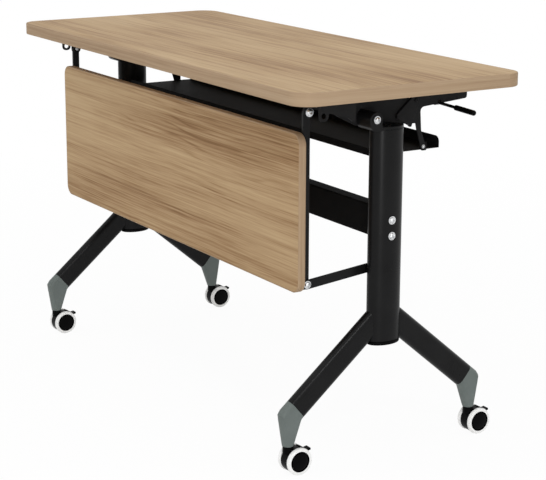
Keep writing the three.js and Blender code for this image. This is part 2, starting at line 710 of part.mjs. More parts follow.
// A hanger is an angle: one leg lies on the panel's back, the other stands back and rises to the pivot eye.
function hanger() {
  const eye = HANGER_EYE_RADIUS;
  const back = PANEL_PIVOT_Y + HANGER_BACK_OFFSET;
  const front = panelBack + SEAT;
  const [x0, x1] = [hangerX0 - OVERSHOOT, hangerX1 + OVERSHOOT];
  const bar = roundedRectangle(front, linkPivotZ - eye, back, panelPivotZ, SHEET / 2);
  const flange = box(
    hangerX1 - HANGER_FLANGE,
    hangerX1,
    front,
    front + SHEET,
    panelBottom + PANEL_CORNER_RADIUS,
    panelTop - SHEET,
  );
  const head = barX(2 * eye, hangerX0, hangerX1, PANEL_PIVOT_Y, panelPivotZ);
  const foot = barX(2 * eye, hangerX0, hangerX1, PANEL_PIVOT_Y, linkPivotZ);
  const footTrim = box(x0, x1, front - 2 * eye, front, linkPivotZ - 2 * eye, panelTop);
  const pinHole = barX(PANEL_PIN_DIAMETER + 2 * PIN_FIT, x0, x1, PANEL_PIVOT_Y, panelPivotZ);
  const body = cut(join(sweepX(bar, hangerX0, hangerX1), flange, head, foot), footTrim, pinHole);
  bothSides("hanger", body, "black");
  const pinEnds = [hangerX0 - PIN_PROUD, innerCheek.x1 + PIN_PROUD];
  bothSides("panel_pin", barX(PANEL_PIN_DIAMETER, ...pinEnds, PANEL_PIVOT_Y, panelPivotZ), "zinc");
}

// A flat link holds the panel's foot off the column. It turns on a stud in the column's inner face.
function link() {
  const r = LINK_HEIGHT / 2;
  const lean = Math.atan2(linkRootZ - linkPivotZ, LINK_ROOT_Y - PANEL_PIVOT_Y);
  const outline = new THREE.Shape();
  outline.absarc(PANEL_PIVOT_Y, linkPivotZ, r, lean + Math.PI / 2, lean + 1.5 * Math.PI);
  outline.absarc(LINK_ROOT_Y, linkRootZ, r, lean - Math.PI / 2, lean + Math.PI / 2);
  outline.closePath();
  outline.holes.push(circleHole(LINK_ROOT_Y, linkRootZ, LINK_PIN_DIAMETER + 2 * PIN_FIT));
  bothSides("link", sweepX(outline, innerCheek.x0, innerCheek.x1), "black");
  const stud = barX(LINK_PIN_DIAMETER, innerCheek.x0 - PIN_PROUD, columnInner - SEAT, LINK_ROOT_Y, linkRootZ);
  bothSides("link_pin", stud, "zinc");
}

// A caster is drawn about its stem, on the floor; its wheels trail towards +Y.
const axleZ = WHEEL_DIAMETER / 2;

function casterHood() {
  const web = new THREE.Shape();
  const [from, to] = [HOOD_FROM_DEGREES, HOOD_TO_DEGREES].map(THREE.MathUtils.degToRad);
  web.absarc(CASTER_TRAIL, axleZ, HOOD_RADIUS, from, to);
  web.closePath();
  const sector = sweepX(web, -HOOD_WEB / 2, HOOD_WEB / 2, { curveSegments: COARSE });
  const collarTop = CASTER_HEIGHT - SEAT;
  const collar = barZ(COLLAR_DIAMETER, collarTop - COLLAR_HEIGHT - HOOD_WEB / 2, collarTop, 0, 0, FINE);
  const stem = barZ(STEM_DIAMETER, collarTop - OVERSHOOT, CASTER_HEIGHT + STEM_LENGTH - PIN_FIT, 0, 0);
  const reach = HOOD_WEB / 2 + WHEEL_WIDTH - 2 * HUB_DOME;
  const axle = barX(AXLE_DIAMETER, -reach, reach, CASTER_TRAIL, axleZ);
  const body = cut(join(sector, collar), ...wheelSpace());
  return body.add(solid(stem)).add(solid(axle));
}

// Wheel profiles run along the axle from the hood outwards: radius first, then distance from the middle.
function wheelCore() {
  const [x0, x1] = [HOOD_WEB / 2 + RUNNING, HOOD_WEB / 2 + RUNNING + WHEEL_WIDTH];
  const r = TREAD_INNER_DIAMETER / 2;
  const bore = WHEEL_BORE / 2;
  const profile = new THREE.Path();
  profile.moveTo(0, x1 - HUB_DOME);
  profile.lineTo(bore, x1 - HUB_DOME);
  profile.lineTo(bore, x0);
  profile.lineTo(r, x0);
  profile.lineTo(r, x1 - HUB_DOME);
  profile.quadraticCurveTo(r - HUB_DOME, x1, 0, x1);
  return new THREE.LatheGeometry(profile.getPoints(3), FINE).rotateZ(-Math.PI / 2);
}

function wheelTread() {
  const [x0, x1] = [HOOD_WEB / 2 + RUNNING, HOOD_WEB / 2 + RUNNING + WHEEL_WIDTH - HUB_DOME / 2];
  const [inner, outer] = [TREAD_INNER_DIAMETER / 2 + SEAT, WHEEL_DIAMETER / 2];
  const profile = new THREE.Path();
  profile.moveTo(inner, x0);
  profile.lineTo(outer - TREAD_SHOULDER, x0);
  profile.quadraticCurveTo(outer, x0, outer, x0 + TREAD_SHOULDER);
  profile.lineTo(outer, x1 - TREAD_SHOULDER);
  profile.quadraticCurveTo(outer, x1, outer - TREAD_SHOULDER, x1);
  profile.lineTo(inner, x1);
  profile.closePath();
  return new THREE.LatheGeometry(profile.getPoints(1), FINE).rotateZ(-Math.PI / 2);
}

// The room that the two wheels of a caster turn in.
function wheelSpace() {
  const inner = HOOD_WEB / 2 + RUNNING / 2;
  const outer = inner + 2 * WHEEL_WIDTH;
  const diameter = WHEEL_DIAMETER + 2 * RUNNING;
  return [
    barX(diameter, inner, outer, CASTER_TRAIL, axleZ, FINE),
    barX(diameter, -outer, -inner, CASTER_TRAIL, axleZ, FINE),
  ];
}

// The brake pedal is a short paddle behind the wheels. Its strap lies on the hood's rim, round the axle.
function brakePedal() {
  const at = (out, up, ...radius) => [CASTER_TRAIL + out, axleZ + up, ...radius];
  const strap = HOOD_RADIUS + SEAT + PEDAL_STRAP;
  const onStrap = (degrees) => {
    const turn = THREE.MathUtils.degToRad(degrees);
    return at(strap * Math.cos(turn), strap * Math.sin(turn));
  };
  const root = Math.sqrt(HOOD_RADIUS ** 2 - PEDAL_HEIGHT ** 2);
  const half = PEDAL_THICKNESS / 2;
  const outline = rounded([
    at(0, 0),
    at(root, PEDAL_HEIGHT - half),
    at(PEDAL_REACH, PEDAL_HEIGHT + PEDAL_RISE - half, half / 2),
    at(PEDAL_REACH, PEDAL_HEIGHT + PEDAL_RISE + half, half / 2),
    at(root + SEAT + PEDAL_STRAP, PEDAL_HEIGHT + half),
    ...[46, 56, 66, 76].map(onStrap),
  ]);
  const tongue = solid(sweepX(outline, -PEDAL_WIDTH / 2, PEDAL_WIDTH / 2));
  const rimSpace = barX(2 * (HOOD_RADIUS + SEAT), -PEDAL_WIDTH, PEDAL_WIDTH, CASTER_TRAIL, axleZ, 2 * FINE);
  return cut(tongue, rimSpace);
}

function casters() {
  const shapes = [
    ["hood", casterHood(), "plastic", 1],
    ["brake_pedal", brakePedal(), "plastic", 1],
    ["wheel_core_outer", wheelCore(), "plastic", 1],
    ["wheel_core_inner", wheelCore(), "plastic", -1],
    ["tread_outer", wheelTread(), "white", 1],
    ["tread_inner", wheelTread(), "white", -1],
  ];
  [1, -1].forEach((side) => {
    [-1, 1].forEach((end) => {
      const place = `${end < 0 ? "front" : "back"}_${side > 0 ? "right" : "left"}`;
      const caster = new THREE.Group();
      caster.position.set(side * columnX, COLUMN_Y + end * STEM_REACH, 0);
      table.add(caster);
      shapes.forEach(([name, shape, finish, turn]) => {
        const mesh = piece(caster, `caster_${place}_${name}`, shape, finish);
        if (name.startsWith("wheel") || name.startsWith("tread")) {
          mesh.position.set(0, CASTER_TRAIL, axleZ);
          mesh.scale.x = turn;
        }
      });
    });
  });
}

tabletop();
column();
columnHead();
columnEndCap();
crossbeam();
legsAndFeet();
flipBracket();
flipPin();
bookTray();
crossTube();
latch();
releaseLever();
modestyPanel();
hanger();
link();
casters();

export default table;
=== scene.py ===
"""Looks of the flip top training table: finishes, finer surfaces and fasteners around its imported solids."""

import json
import math

import bmesh
import bpy
from mathutils import Matrix, Vector


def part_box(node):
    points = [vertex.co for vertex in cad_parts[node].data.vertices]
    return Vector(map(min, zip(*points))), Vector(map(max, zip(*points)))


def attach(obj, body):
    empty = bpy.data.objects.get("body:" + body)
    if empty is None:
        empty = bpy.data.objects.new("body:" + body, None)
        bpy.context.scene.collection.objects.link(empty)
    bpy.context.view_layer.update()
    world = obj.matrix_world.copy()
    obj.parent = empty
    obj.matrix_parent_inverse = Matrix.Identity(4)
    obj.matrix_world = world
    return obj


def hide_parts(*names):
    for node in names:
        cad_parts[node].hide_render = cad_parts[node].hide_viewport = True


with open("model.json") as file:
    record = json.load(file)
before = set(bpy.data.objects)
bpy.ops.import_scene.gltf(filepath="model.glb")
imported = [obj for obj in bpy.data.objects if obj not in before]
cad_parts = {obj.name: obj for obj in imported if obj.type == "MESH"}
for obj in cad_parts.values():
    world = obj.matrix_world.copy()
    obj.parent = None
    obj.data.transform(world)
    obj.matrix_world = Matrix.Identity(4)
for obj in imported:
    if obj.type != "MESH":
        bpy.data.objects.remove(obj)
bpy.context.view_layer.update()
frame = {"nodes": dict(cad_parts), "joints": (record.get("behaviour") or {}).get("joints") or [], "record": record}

# Lengths are in metres and angles in degrees, unless a comment says otherwise.

# Camera, as fitted to the photograph. Its lens and sensor are in millimetres.
CAMERA_PLACE = Vector((3.0003, -1.7812, 1.1944))
CAMERA_TARGET = Vector((0.105356, 0, 0.332944))
CAMERA_ROLL = 0.194
CAMERA_LENS = 110.71
CAMERA_REACH = 100
SENSOR_WIDTH = 36

# Light and stage
WHITE = (1, 1, 1, 1)
WORLD_STRENGTH = 0.60
FLOOR_SIZE = 60
FLOOR_GLOW = 0.95
FLOOR_NEAR = 1.0
FLOOR_FAR = 2.6
FLOOR_COLOUR = (0.96, 0.96, 0.96, 1)

# Each lamp's place, target, size and power in watts
LAMPS = {
    "overhead": ((0.2, -0.3, 4.2), (0, 0, 0.4), (4.0, 4.0), 41),
    "key": ((-1.0, -3.4, 2.0), (0.2, 0, 0.4), (1.4, 1.4), 16),
    "strip": ((4.3, -1.45, 0.3), (0.5, 0, 0.4), (0.25, 0.5), 27),
    "rim": ((3.3, -1.2, 2.9), (0.5, -0.1, 0.3), (0.3, 0.3), 22),
}

# Wood grain. Each noise has its cells per metre along and across the grain, its detail and its roughness.
# The drawn lines are the crests of a wave. Its density is in radians per metre and its wander in radians.
GRAIN_MAP = "grain"
GRAIN_WAVE = (1.5, 3.5, 2, 0.5)
GRAIN_PATCHES = (1.9, 9, 3, 0.6)
GRAIN_LAYERS = {
    "tone": (1.3, 5.0, 2, 0.5),
    "band": (1.2, 36, 3, 0.6),
    "fibre": (2.0, 225, 3, 0.62),
    "pores": (10.0, 430, 2, 0.6),
}
GRAIN_SHARES = {"tone": 0.40, "band": 0.34, "fibre": 0.44, "pores": 0.22}
GRAIN_BEND = 0.012
LINE_DENSITY = 170
LINE_WANDER = 20.0
LINE_SHARPNESS = 12.0
PATCH_START = 0.56
PATCH_FULL = 0.70
WOOD_SPECULAR = 0.06
WOOD_ROUGHNESS = (0.44, 0.58)
PORE_DEPTH = 0.00012
PORE_STRENGTH = 0.30

# Coats: clouds and specks between two shades, and how far the clouds change the roughness
CLOUD_SCALE = 18
CLOUD_SHARE = 0.55
SPECK_SHARE = 0.45
DARK_STOP = 0.35
LIGHT_STOP = 0.65
COAT_SMOOTHER = 0.05
COAT_ROUGHER = 0.07
COAT_DEPTH = 0.00008

# Zinc plate
ZINC_STOPS = ((0.3, (0.56, 0.57, 0.58)), (0.7, (0.78, 0.79, 0.80)))
ZINC_PATCHES = 160
ZINC_MARKS = 900
ZINC_ROUGHNESS = (0.2, 0.36)
ZINC_DEPTH = 0.00004
ZINC_STRENGTH = 0.25

# Boards. The turns of the band's rounded edge are in radians, and the underside shows another stretch
# of the grain.
BAND = 0.002
BAND_EDGE = 0.0018
BAND_TURNS = (0, 0.4, 0.8, 1.2, math.pi / 2)
BAND_JOINT = 0.00012
TOP_CORNER = 0.040
PANEL_CORNER = 0.022
CORNER_STEPS = 20
UNDERSIDE_SHIFT = 1.0

# Edges and facets of the metal and moulded pieces. The five broken edges run from crisp to round.
SAME_POINT = 1e-6
BEVEL_JOIN = 1e-5
FLAT_ANGLE = 0.6
SHARP_ANGLE = 34
ROUND = 48
FINE_ROUND = 96
BOLT_ROUND = 36
WHEEL_ROUND = 72
CRISP_EDGE = 0.0004
FINE_EDGE = 0.0006
PLAIN_EDGE = 0.0008
SOFT_EDGE = 0.0010
ROUND_EDGE = 0.0012
PIN_CHAMFER = 0.0006
COLUMN_WALL = 0.0025

# Wheels. The groove's places are angles on the outer shoulder.
TREAD_SHOULDER = 0.0045
TREAD_GROOVE = 0.0009
GROOVE_START = 26
GROOVE_FLOOR = (28, 32)
GROOVE_END = 34
SHOULDER_END = 76
TREAD_LIP = 0.0020
TREAD_LIP_FOOT = 0.0016
TREAD_LIP_DEPTH = 0.0006
RIM_FIT = 0.0002
RIM_EDGE = 0.0007
RIM_FOOT = 0.0011
AXLE_HOLE = 0.0033
AXLE_COVER = 0.004
HUB_RIM = 0.0034
HUB_RECESS = 0.0022
HUB_FOOT = 0.0004
HUB_EDGE = 0.0005
HUB_DOME = 0.0018
DOME_RISE = 0.9
DOME_RINGS = (0.85, 0.65, 0.45, 0.25, 0.1)

# Tray lips
LIP_LOWEST = 0.006
LIP_THICKEST = 0.003
LIP_CORNER = 0.011
LIP_STEPS = 8

# Radii and heights of the bolt and screw heads
BOLT_RADIUS = 0.0058
BOLT_HEIGHT = 0.0048
PANEL_BOLT_RADIUS = 0.0065
LINK_BOLT_RADIUS = 0.0060
BEAM_BOLT_RADIUS = 0.0062
TRAY_BOLT_RADIUS = 0.0028
TRAY_BOLT_HEIGHT = 0.0025
SCREW_RADIUS = 0.0038
SCREW_HEIGHT = 0.0026

# Places of the fasteners on the right side, which the left side mirrors. Each head sinks a little into
# its piece.
SINK = 0.0004
BOLT_STANDOFF = 0.002
LINK_EYE = 0.009
PRESSED_SHEET = 0.003
BEAM_BOLTS_Z = (0.436, 0.466)
TRAY_BOLT_YZ = (0.0945, 0.5872)
BRACKET_SCREWS_XY = ((0.516, -0.132), (0.528, 0.000), (0.511, 0.075), (0.5005, 0.155))
HANGER_SCREWS_X = 0.4757
HANGER_SCREWS_Z = (0.385, 0.500, 0.612)

# Form of a bolt head, in shares of its radius and height. The turns of the crown are in radians.
WASHER_REACH = 1.25
WASHER_TOP = 0.20
CROWN_START = 0.25
CROWN_TURNS = (0.35, 0.7, 1.0)
SOCKET_REACH = 0.42
SOCKET_MOUTH = 0.97
SOCKET_WALL = 0.35
SOCKET_FLOOR = 0.3

SIDES = {"right": 1, "left": -1}
PLACES = [f"{end}_{side}" for end in ("front", "back") for side in SIDES]

nodes = frame["nodes"]
behaviour = frame["record"]["behaviour"]
body_of = {node: body for body, members in behaviour["bodies"].items() for node in members}
slot_of = {part["node"]: part["material_slot"] for part in frame["record"]["subparts"]}
pivots = {joint["name"]: Vector(joint["pos_m"]) for joint in frame["joints"]}


# Materials


def new_material(name, roughness, metallic=0.0):
    material = bpy.data.materials.new(name)
    material.use_nodes = True
    shader = material.node_tree.nodes["Principled BSDF"]
    shader.inputs["Metallic"].default_value = metallic
    shader.inputs["Roughness"].default_value = roughness
    return material, material.node_tree, shader


def add(tree, kind, inputs=None, **settings):
    """One shader node, with its settings, and its inputs set to values or linked to sockets."""
    node = tree.nodes.new(kind)
    for name, value in settings.items():
        setattr(node, name, value)
    for name, value in (inputs or {}).items():
        if isinstance(value, bpy.types.NodeSocket):
            tree.links.new(value, node.inputs[name])
        else:
            node.inputs[name].default_value = value
    return node


def maths(tree, operation, first, second=0.0):
    node = add(tree, "ShaderNodeMath", {0: first, 1: second}, operation=operation)
    return node.outputs[0]


def noise(tree, vector, scale, detail, roughness=0.55, dimensions="3D"):
    inputs = {"Vector": vector, "Scale": scale, "Detail": detail, "Roughness": roughness}
    node = add(tree, "ShaderNodeTexNoise", inputs, noise_dimensions=dimensions)
    return node.outputs["Fac"]


def shade(tree, shader, factor, stops):
    """The base colour, from a ramp of (place, colour) stops."""
    node = add(tree, "ShaderNodeValToRGB", {"Fac": factor})
    while len(node.color_ramp.elements) < len(stops):
        node.color_ramp.elements.new(0.5)
    for element, (place, colour) in zip(node.color_ramp.elements, stops):
        element.position = place
        element.color = (*colour, 1)
    tree.links.new(node.outputs["Color"], shader.inputs["Base Color"])


def uneven_gloss(tree, shader, factor, low, high):
    node = add(tree, "ShaderNodeMapRange", {"Value": factor, "To Min": low, "To Max": high})
    tree.links.new(node.outputs["Result"], shader.inputs["Roughness"])


def bump(tree, shader, height, distance, strength):
    inputs = {"Height": height, "Distance": distance, "Strength": strength}
    node = add(tree, "ShaderNodeBump", inputs)
    tree.links.new(node.outputs["Normal"], shader.inputs["Normal"])


def wood(name, start, stops, contrast, figure):
    """Oak-look melamine. The grain runs along u of the grain map, and start shifts the pattern."""
    material, tree, shader = new_material(name, roughness=0.5)
    shader.inputs["Specular IOR Level"].default_value = WOOD_SPECULAR
    uv = add(tree, "ShaderNodeUVMap", uv_map=GRAIN_MAP).outputs["UV"]

    def streaks(vector, along, across, detail, roughness):
        inputs = {"Vector": vector, "Location": (start, 2 * start, 0), "Scale": (along, across, 1)}
        scaled = add(tree, "ShaderNodeMapping", inputs).outputs["Vector"]
        return noise(tree, scaled, 1.0, detail, roughness, "2D")

    def centred(layer, share):
        return maths(tree, "MULTIPLY", maths(tree, "SUBTRACT", layer, 0.5), share)

    sway = centred(streaks(uv, *GRAIN_WAVE), GRAIN_BEND)
    shift = add(tree, "ShaderNodeCombineXYZ", {"Y": sway}).outputs[0]
    bent = add(tree, "ShaderNodeVectorMath", {0: uv, 1: shift}, operation="ADD").outputs[0]
    layers = {layer: streaks(bent, *cells) for layer, cells in GRAIN_LAYERS.items()}

    across = add(tree, "ShaderNodeSeparateXYZ", {0: bent}).outputs["Y"]
    wander = centred(streaks(bent, *GRAIN_WAVE), LINE_WANDER)
    phase = maths(tree, "ADD", maths(tree, "MULTIPLY", across, LINE_DENSITY), wander)
    ripple = maths(tree, "ABSOLUTE", maths(tree, "SINE", phase))
    lines = maths(tree, "POWER", ripple, LINE_SHARPNESS)
    limits = {"Value": streaks(uv, *GRAIN_PATCHES), "From Min": PATCH_START, "From Max": PATCH_FULL}
    patches = add(tree, "ShaderNodeMapRange", limits).outputs["Result"]
    drawn = maths(tree, "MULTIPLY", lines, patches)

    total = maths(tree, "SUBTRACT", 0.5, maths(tree, "MULTIPLY", drawn, figure))
    for layer, share in GRAIN_SHARES.items():
        total = maths(tree, "ADD", total, centred(layers[layer], share * contrast))
    shade(tree, shader, total, stops)
    uneven_gloss(tree, shader, layers["band"], *WOOD_ROUGHNESS)
    bump(tree, shader, layers["pores"], PORE_DEPTH, PORE_STRENGTH)
    return material


def coated(name, dark, light, grain, roughness, specular, strength):
    """A painted or moulded surface: two near shades, a fine grain and uneven gloss."""
    material, tree, shader = new_material(name, roughness)
    shader.inputs["Specular IOR Level"].default_value = specular
    place = add(tree, "ShaderNodeTexCoord").outputs["Object"]
    cloud = noise(tree, place, CLOUD_SCALE, detail=3)
    speck = noise(tree, place, grain, detail=2)
    clouds = maths(tree, "MULTIPLY", cloud, CLOUD_SHARE)
    specks = maths(tree, "MULTIPLY", speck, SPECK_SHARE)
    shade(tree, shader, maths(tree, "ADD", clouds, specks), ((DARK_STOP, dark), (LIGHT_STOP, light)))
    uneven_gloss(tree, shader, cloud, roughness - COAT_SMOOTHER, roughness + COAT_ROUGHER)
    bump(tree, shader, speck, COAT_DEPTH, strength)
    return material


def plated(name):
    """Bright zinc with faint turning marks and patches."""
    material, tree, shader = new_material(name, roughness=0.28, metallic=1.0)
    place = add(tree, "ShaderNodeTexCoord").outputs["Object"]
    patches = noise(tree, place, ZINC_PATCHES, detail=3)
    shade(tree, shader, patches, ZINC_STOPS)
    uneven_gloss(tree, shader, patches, *ZINC_ROUGHNESS)
    marks = noise(tree, place, ZINC_MARKS, detail=2)
    bump(tree, shader, marks, ZINC_DEPTH, ZINC_STRENGTH)
    return material


OAK_FACE = (
    (0.26, (0.224, 0.122, 0.054)),
    (0.38, (0.328, 0.202, 0.101)),
    (0.50, (0.426, 0.286, 0.156)),
    (0.60, (0.481, 0.335, 0.188)),
    (0.74, (0.533, 0.383, 0.224)),
)
OAK_EDGE = (
    (0.26, (0.235, 0.144, 0.078)),
    (0.50, (0.390, 0.275, 0.174)),
    (0.74, (0.487, 0.364, 0.244)),
)
TOP_WOOD = wood("oak_top", 5.2, OAK_FACE, contrast=1.32, figure=0.12)
PANEL_WOOD = wood("oak_panel", 11.3, OAK_FACE, contrast=1.12, figure=0.15)
BAND_WOOD = wood("oak_band", 23.9, OAK_EDGE, contrast=0.7, figure=0.0)
METAL = coated(
    "black_powder_coat",
    dark=(0.0058, 0.0058, 0.0060),
    light=(0.0090, 0.0090, 0.0093),
    grain=1700,
    roughness=0.28,
    specular=0.11,
    strength=0.30,
)
# The same black powder coat, painted lighter and with less gloss: painted light on the flip brackets and latch
# pawls, which lie in the shade under the top.
BRACKET_COAT_PAINTED_LIGHTER = coated(
    "black_coat_painted_lighter_for_shade",
    dark=(0.0150, 0.0150, 0.0154),
    light=(0.0215, 0.0215, 0.0220),
    grain=1700,
    roughness=0.50,
    specular=0.03,
    strength=0.35,
)
# The same black powder coat again, a little lighter and with almost no reflection: painted light and shade for how
# light falls on the tray and the crossbeam.
SHEET_COAT_WITH_PAINTED_LIGHT = coated(
    "black_coat_with_painted_light_and_shade",
    dark=(0.0070, 0.0070, 0.0072),
    light=(0.0105, 0.0105, 0.0108),
    grain=1700,
    roughness=0.55,
    specular=0.012,
    strength=0.35,
)
CAST = coated(
    "grey_cast_paint",
    dark=(0.114, 0.136, 0.128),
    light=(0.144, 0.167, 0.159),
    grain=1100,
    roughness=0.50,
    specular=0.30,
    strength=0.40,
)
PLASTIC = coated(
    "black_nylon",
    dark=(0.0010, 0.0010, 0.0011),
    light=(0.0020, 0.0020, 0.0022),
    grain=2600,
    roughness=0.36,
    specular=0.04,
    strength=0.25,
)
TREAD = coated(
    "white_polyurethane",
    dark=(0.91, 0.91, 0.90),
    light=(0.96, 0.96, 0.95),
    grain=1500,
    roughness=0.45,
    specular=0.30,
    strength=0.15,
)
ZINC = plated("bright_zinc")
MATERIALS = {
    "black_metal": METAL,
    "grey_cast": CAST,
    "zinc": ZINC,
    "black_plastic": PLASTIC,
    "white_tread": TREAD,
}


# Making of pieces


def piece(name, mesh, body, slot, *replaced, material=None):
    """One finished mesh on its body, in place of the CAD nodes that it stands for."""
    mesh.name = name
    mesh.materials.append(material or MATERIALS[slot])
    obj = bpy.data.objects.new(name, mesh)
    bpy.context.scene.collection.objects.link(obj)
    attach(obj, body)
    if replaced:
        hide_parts(*replaced)
    return obj


def finished(work):
    """The mesh of a bmesh, with its faces out and smooth up to the sharp angle."""
    bmesh.ops.recalc_face_normals(work, faces=work.faces)
    mesh = bpy.data.meshes.new("surface")
    work.to_mesh(mesh)
    work.free()
    mesh.shade_smooth()
    mesh.set_sharp_from_angle(angle=math.radians(SHARP_ANGLE))
    return mesh


def replacement(node, mesh, material=None):
    """A finer mesh in place of a CAD node, on the node's body and in its slot."""
    return piece(f"{node}_finish", mesh, body_of[node], slot_of[node], node, material=material)


def refined(node, bevel, segments=2, material=None, shaped=None):
    """A copy of a CAD solid with broken edges and even shading, in place of the solid."""
    work = bmesh.new()
    work.from_mesh(nodes[node].data)
    bmesh.ops.remove_doubles(work, verts=work.verts, dist=SAME_POINT)
    flat = math.radians(FLAT_ANGLE)
    bmesh.ops.dissolve_limit(work, angle_limit=flat, verts=work.verts, edges=work.edges)
    if shaped:
        shaped(work)
    obj = replacement(node, finished(work), material)
    edges = obj.modifiers.new("broken_edges", "BEVEL")
    edges.width = bevel
    edges.segments = segments
    edges.limit_method = "ANGLE"
    edges.angle_limit = math.radians(SHARP_ANGLE)
    joined = obj.modifiers.new("joined_points", "WELD")
    joined.merge_threshold = BEVEL_JOIN
    shading = obj.modifiers.new("even_shading", "WEIGHTED_NORMAL")
    shading.keep_sharp = True


def skin(work, rings, closed=False):
    """Faces between neighbouring rings of vertices. A ring of one vertex is a pole."""
    count = max(len(ring) for ring in rings)
    pairs = list(zip(rings, rings[1:]))
    if closed:
        pairs.append((rings[-1], rings[0]))
    for one, two in pairs:
        for i in range(count):
            j = (i + 1) % count
            corners = [one[i % len(one)], one[j % len(one)], two[j % len(two)], two[i % len(two)]]
            apart = list(dict.fromkeys(corners))
            if len(apart) > 2:
                work.faces.new(apart)


def circle(count):
    """Evenly spread angles of a full turn, in radians."""
    return [2 * math.pi * i / count for i in range(count)]


def lathe(profile, centre, axis, closed=False, steps=ROUND):
    """A turned mesh. The profile holds (radius, distance along the axis) pairs.

    A radius of 0 is a pole, and a radius may be a function of the angle.
    """
    turn = Vector(axis).to_track_quat("Z", "Y").to_matrix()
    work = bmesh.new()
    rings = []
    for radius, along in profile:
        ring = []
        for angle in circle(steps if radius else 1):
            reach = radius(angle) if callable(radius) else radius
            spot = Vector((reach * math.cos(angle), reach * math.sin(angle), along))
            ring.append(work.verts.new(Vector(centre) + turn @ spot))
        rings.append(ring)
    skin(work, rings, closed)
    return finished(work)


def arc(centre, radius, start, end, steps):
    """Points of an arc, from start to end in degrees."""
    angles = [math.radians(start + (end - start) * i / steps) for i in range(steps + 1)]
    return [(centre[0] + radius * math.cos(a), centre[1] + radius * math.sin(a)) for a in angles]


def bar(node):
    """A round pin or shaft along X, in place of its CAD node."""
    low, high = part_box(node)
    radius, length = (high.z - low.z) / 2, high.x - low.x
    profile = [
        (0, 0),
        (radius - PIN_CHAMFER, 0),
        (radius, PIN_CHAMFER),
        (radius, length - PIN_CHAMFER),
        (radius - PIN_CHAMFER, length),
        (0, length),
    ]
    start = Vector((low.x, (low.y + high.y) / 2, (low.z + high.z) / 2))
    replacement(node, lathe(profile, start, axis=(1, 0, 0)))


def bolt(name, place, axis, body, radius=BOLT_RADIUS, height=BOLT_HEIGHT, slot="zinc"):
    """A button head with a hexagon socket, on a washer."""

    def hexagon(angle):
        step = math.pi / 3
        return SOCKET_REACH * radius / math.cos(angle % step - step / 2)

    profile = [
        (0, -SINK),
        (radius * WASHER_REACH, -SINK),
        (radius * WASHER_REACH, height * WASHER_TOP),
        (radius, height * CROWN_START),
    ]
    for turn in CROWN_TURNS:
        rise = CROWN_START + (1 - CROWN_START) * math.sin(turn)
        profile.append((radius * math.cos(turn), height * rise))
    profile += [
        (hexagon, height * SOCKET_MOUTH),
        (hexagon, height * SOCKET_WALL),
        (0, height * SOCKET_FLOOR),
    ]
    piece(name, lathe(profile, place, axis, steps=BOLT_ROUND), body, slot)


def screw(name, place, axis, body):
    """A small black head of the same form."""
    bolt(name, place, axis, body, radius=SCREW_RADIUS, height=SCREW_HEIGHT, slot="black_metal")


# Boards: a laminate core with an edge band. A board's outline lies in u and v, its thickness along w,
# and place(u, v, w) puts a point in the frame.


def outline(low, high, radius, inset):
    """Points of a rounded rectangle, drawn inwards by the inset."""
    found = []
    reach = radius - inset
    for u, v, start in ((1, 1, 0), (-1, 1, 90), (-1, -1, 180), (1, -1, 270)):
        centre = Vector((
            high[0] - radius if u > 0 else low[0] + radius,
            high[1] - radius if v > 0 else low[1] + radius,
        ))
        for point in arc((0, 0), 1, start, start + 90, CORNER_STEPS):
            found.append(centre + Vector(point) * reach)
    return found


def board_rings(work, levels, low, high, radius, place):
    """Rings of vertices round a board, one for each (inset, height) level."""
    rings = []
    for inset, w in levels:
        points = outline(low, high, radius, inset)
        rings.append([work.verts.new(place(u, v, low[2] + w)) for u, v in points])
    return rings


def edge_band(name, low, high, radius, place, body):
    """The band round a board, with its grain along the edge."""
    thick = high[2] - low[2]
    side = [(BAND, 0.0)]
    for turn in BAND_TURNS:
        side.append((BAND_EDGE - BAND_EDGE * math.sin(turn), BAND_EDGE - BAND_EDGE * math.cos(turn)))
    levels = side + [(inset, thick - w) for inset, w in reversed(side)]
    work = bmesh.new()
    grain = work.loops.layers.uv.new(GRAIN_MAP)
    rings = board_rings(work, levels, low, high, radius, place)
    skin(work, rings, closed=True)

    corners = outline(low, high, radius, 0)
    count = len(corners)
    travel = [0.0]
    for one, two in zip(corners, corners[1:] + corners[:1]):
        travel.append(travel[-1] + (two - one).length)
    spot_of = {}
    for ring, (inset, w) in zip(rings, levels):
        for i, vert in enumerate(ring):
            spot_of[vert] = (i, w + (inset if w > thick / 2 else -inset))
    # A face that closes the loop reaches back to the first point, which there lies at the full length.
    for face in work.faces:
        indices = [spot_of[loop.vert][0] for loop in face.loops]
        wraps = max(indices) - min(indices) > count / 2
        for loop in face.loops:
            i, across = spot_of[loop.vert]
            along = travel[count] if wraps and i == 0 else travel[i]
            loop[grain].uv = (along, across)
    piece(f"{name}_edge_band", finished(work), body, "wood", material=BAND_WOOD)


def faced_core(name, low, high, radius, place, body, material):
    """The board inside its band, with its grain along u."""
    thick = high[2] - low[2]
    inner, outer = BAND + BAND_JOINT * 2, BAND + BAND_JOINT
    levels = [(inner, 0.0), (outer, BAND_JOINT), (outer, thick - BAND_JOINT), (inner, thick)]
    work = bmesh.new()
    grain = work.loops.layers.uv.new(GRAIN_MAP)
    rings = board_rings(work, levels, low, high, radius, place)
    skin(work, rings)
    work.faces.new(rings[0])
    work.faces.new(rings[-1])

    flat = {}
    for ring, (inset, _) in zip(rings, levels):
        flat.update(zip(ring, outline(low, high, radius, inset)))
    below = set(rings[0])
    for face in work.faces:
        under = all(vert in below for vert in face.verts)
        for loop in face.loops:
            u, v = flat[loop.vert]
            loop[grain].uv = (u, v + (UNDERSIDE_SHIFT if under else 0.0))
    piece(f"{name}_core", finished(work), body, "wood", name, material=material)


